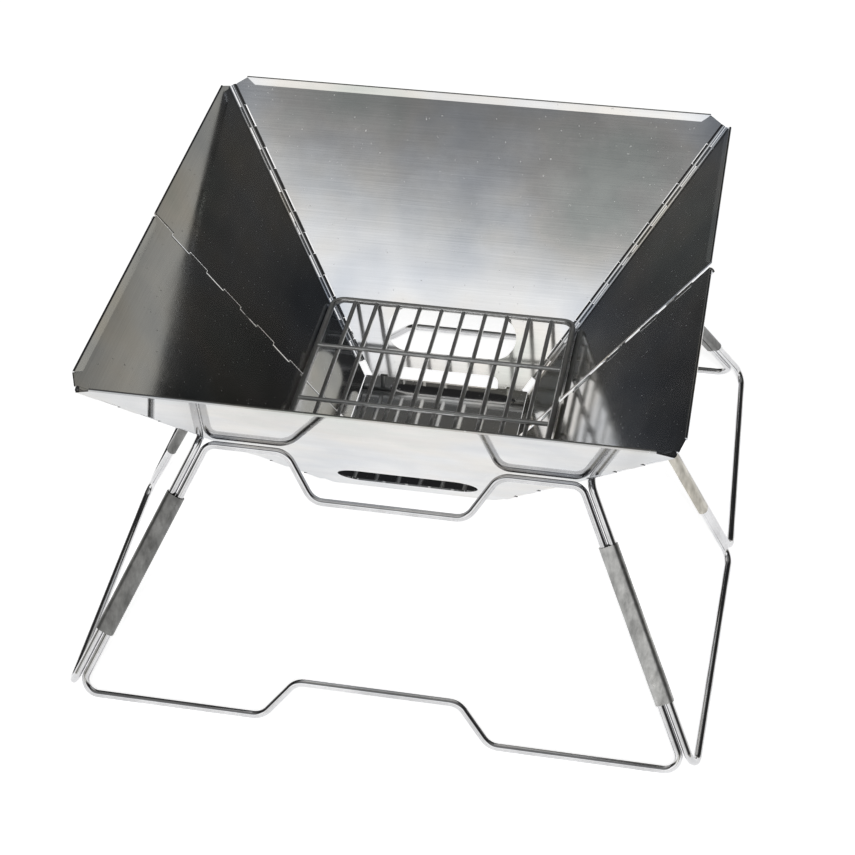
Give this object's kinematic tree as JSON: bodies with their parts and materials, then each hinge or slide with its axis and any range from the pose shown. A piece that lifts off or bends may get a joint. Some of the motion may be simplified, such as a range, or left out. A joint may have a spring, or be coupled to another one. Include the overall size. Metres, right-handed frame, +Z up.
{
  "type": "folding charcoal grill",
  "caption": "Folding charcoal grill: a bowl of hinged steel panels with air slots and a wire grate, standing in a folding stand of bent wire loops.",
  "frame": {"origin": "on the ground, under the centre of the bowl", "axes": "+Z up, +X to the right and +Y to the back, seen from the front"},
  "size_m": [0.4178, 0.4008, 0.2405],
  "materials": {
    "panel_steel": "brushed",
    "hinge_steel": "polished",
    "wire_chrome": "polished",
    "sleeve_steel": "satin",
    "grate_chrome": "polished"
  },
  "bodies": {
    "stand_front": {"stand_front_loop": "wire_chrome"},
    "sleeve_front_left": {"sleeve_front_left": "sleeve_steel"},
    "stand_left_front": {"stand_left_front_loop": "wire_chrome"},
    "sleeve_mid_left": {"sleeve_mid_left": "sleeve_steel"},
    "stand_left_back": {"stand_left_back_loop": "wire_chrome"},
    "sleeve_back_left": {"sleeve_back_left": "sleeve_steel"},
    "stand_back": {"stand_back_loop": "wire_chrome"},
    "sleeve_back_right": {"sleeve_back_right": "sleeve_steel"},
    "stand_right_back": {"stand_right_back_loop": "wire_chrome"},
    "sleeve_front_right": {"sleeve_front_right": "sleeve_steel"},
    "stand_right_front": {"stand_right_front_loop": "wire_chrome"},
    "sleeve_mid_right": {"sleeve_mid_right": "sleeve_steel"},
    "bowl_front": {"front_panel": "panel_steel", "hinge_pin_front_left": "hinge_steel", "hinge_pin_front_right": "hinge_steel"},
    "bowl_left_front": {"left_front_panel": "panel_steel", "hinge_pin_left": "hinge_steel"},
    "bowl_left_back": {"left_back_panel": "panel_steel"},
    "bowl_back": {"back_panel": "panel_steel", "hinge_pin_back_left": "hinge_steel", "hinge_pin_back_right": "hinge_steel", "floor_hinge_pins": "hinge_steel"},
    "bowl_right_back": {"right_back_panel": "panel_steel"},
    "bowl_right_front": {"right_front_panel": "panel_steel", "right_mid_knuckles": "hinge_steel", "hinge_pin_right": "hinge_steel"},
    "floor_plate": {"floor_plate": "panel_steel"},
    "grate": {"grate_frame": "grate_chrome", "grate_bars": "grate_chrome", "grate_cross_wires": "grate_chrome"}
  },
  "joints": [
    {"name": "bowl_lift", "type": "slide", "parent": "stand_front", "child": "bowl_front", "axis": [0, 0, 1], "range_m": [0, 0.24]},
    {"name": "sleeve_front_left_turn", "type": "hinge", "parent": "stand_front", "child": "sleeve_front_left", "pos_m": [-0.19493, -0.1979, 0.0025], "axis": [-0.4131, -0.4131, -0.8116], "range_deg": [0, 49.96]},
    {"name": "left_front_turn", "type": "hinge", "parent": "sleeve_front_left", "child": "stand_left_front", "pos_m": [-0.20086, -0.1979, 0.0025], "axis": [-0.4131, -0.4131, -0.8116], "range_deg": [0, 33.94]},
    {"name": "stand_fold", "type": "hinge", "parent": "stand_left_front", "child": "sleeve_mid_left", "pos_m": [-0.20666, -0.0027, 0.0025], "axis": [0.4643, 0, 0.8857], "range_deg": [0, 75.75]},
    {"name": "left_back_turn", "type": "hinge", "parent": "sleeve_mid_left", "child": "stand_left_back", "pos_m": [-0.20666, 0.0027, 0.0025], "axis": [-0.4643, 0, -0.8857], "range_deg": [-75.75, 0]},
    {"name": "sleeve_back_left_turn", "type": "hinge", "parent": "stand_left_back", "child": "sleeve_back_left", "pos_m": [-0.20086, 0.1979, 0.0025], "axis": [-0.4131, 0.4131, -0.8116], "range_deg": [0, 31.6]},
    {"name": "back_turn", "type": "hinge", "parent": "sleeve_back_left", "child": "stand_back", "pos_m": [-0.19493, 0.1979, 0.0025], "axis": [-0.4131, 0.4131, -0.8116], "range_deg": [0, 52.75]},
    {"name": "sleeve_back_right_turn", "type": "hinge", "parent": "stand_back", "child": "sleeve_back_right", "pos_m": [0.19493, 0.1979, 0.0025], "axis": [0.4131, 0.4131, -0.8116], "range_deg": [0, 68.78]},
    {"name": "right_back_turn", "type": "hinge", "parent": "sleeve_back_right", "child": "stand_right_back", "pos_m": [0.20086, 0.1979, 0.0025], "axis": [0.4131, 0.4131, -0.8116], "range_deg": [0, 15.15]},
    {"name": "sleeve_front_right_turn", "type": "hinge", "parent": "stand_front", "child": "sleeve_front_right", "pos_m": [0.19493, -0.1979, 0.0025], "axis": [0.4131, -0.4131, -0.8116], "range_deg": [-69.04, 0]},
    {"name": "right_front_turn", "type": "hinge", "parent": "sleeve_front_right", "child": "stand_right_front", "pos_m": [0.20086, -0.1979, 0.0025], "axis": [0.4131, -0.4131, -0.8116], "range_deg": [-15.15, 0]},
    {"name": "sleeve_mid_right_turn", "type": "hinge", "parent": "stand_right_front", "child": "sleeve_mid_right", "pos_m": [0.20666, -0.0027, 0.0025], "axis": [0.4643, 0, -0.8857], "range_deg": [0, 68.57]},
    {"name": "bowl_left_front_turn", "type": "hinge", "parent": "bowl_front", "child": "bowl_left_front", "pos_m": [-0.057, -0.057, 0.0825], "axis": [-0.515, -0.515, 0.6852], "range_deg": [-93.12, 0]},
    {"name": "bowl_fold", "type": "hinge", "parent": "bowl_left_front", "child": "bowl_left_back", "pos_m": [-0.05936, 0, 0.07998], "axis": [-0.6008, 0, 0.7994], "range_deg": [0, 149]},
    {"name": "bowl_back_turn", "type": "hinge", "parent": "bowl_left_back", "child": "bowl_back", "pos_m": [-0.057, 0.057, 0.0825], "axis": [-0.515, 0.515, 0.6852], "range_deg": [-93.26, 0]},
    {"name": "bowl_right_back_turn", "type": "hinge", "parent": "bowl_back", "child": "bowl_right_back", "pos_m": [0.057, 0.057, 0.0825], "axis": [0.515, 0.515, 0.6852], "range_deg": [-92.86, 0]},
    {"name": "bowl_right_front_turn", "type": "hinge", "parent": "bowl_front", "child": "bowl_right_front", "pos_m": [0.057, -0.057, 0.0825], "axis": [0.515, -0.515, 0.6852], "range_deg": [0, 93]},
    {"name": "floor_plate_turn", "type": "hinge", "parent": "bowl_back", "child": "floor_plate", "pos_m": [0, 0.05816, 0.07838], "axis": [1, 0, 0], "range_deg": [0, 53.11]},
    {"name": "grate_lift", "type": "slide", "parent": "bowl_front", "child": "grate", "axis": [0, 0, 1], "range_m": [0, 0.376]}
  ],
  "couplings": [
    {"joint": "sleeve_front_left_turn", "follows": "bowl_lift", "rad_per_m": 3.5976},
    {"joint": "left_front_turn", "follows": "bowl_lift", "rad_per_m": 2.4435},
    {"joint": "stand_fold", "follows": "bowl_lift", "rad_per_m": 5.4542},
    {"joint": "left_back_turn", "follows": "bowl_lift", "rad_per_m": -5.4542},
    {"joint": "sleeve_back_left_turn", "follows": "bowl_lift", "rad_per_m": 2.2755},
    {"joint": "back_turn", "follows": "bowl_lift", "rad_per_m": 3.7983},
    {"joint": "sleeve_back_right_turn", "follows": "bowl_lift", "rad_per_m": 4.9524},
    {"joint": "right_back_turn", "follows": "bowl_lift", "rad_per_m": 1.0908},
    {"joint": "sleeve_front_right_turn", "follows": "bowl_lift", "rad_per_m": -4.9709},
    {"joint": "right_front_turn", "follows": "bowl_lift", "rad_per_m": -1.0908},
    {"joint": "sleeve_mid_right_turn", "follows": "bowl_lift", "rad_per_m": 4.9371},
    {"joint": "bowl_left_front_turn", "follows": "bowl_fold", "ratio": -0.62488},
    {"joint": "bowl_back_turn", "follows": "bowl_fold", "ratio": -0.62585},
    {"joint": "bowl_right_back_turn", "follows": "bowl_fold", "ratio": -0.62316},
    {"joint": "bowl_right_front_turn", "follows": "bowl_fold", "ratio": 0.62411},
    {"joint": "floor_plate_turn", "follows": "bowl_fold", "ratio": 0.35638},
    {"joint": "grate_lift", "follows": "bowl_fold", "m_per_rad": 0.1442}
  ]
}
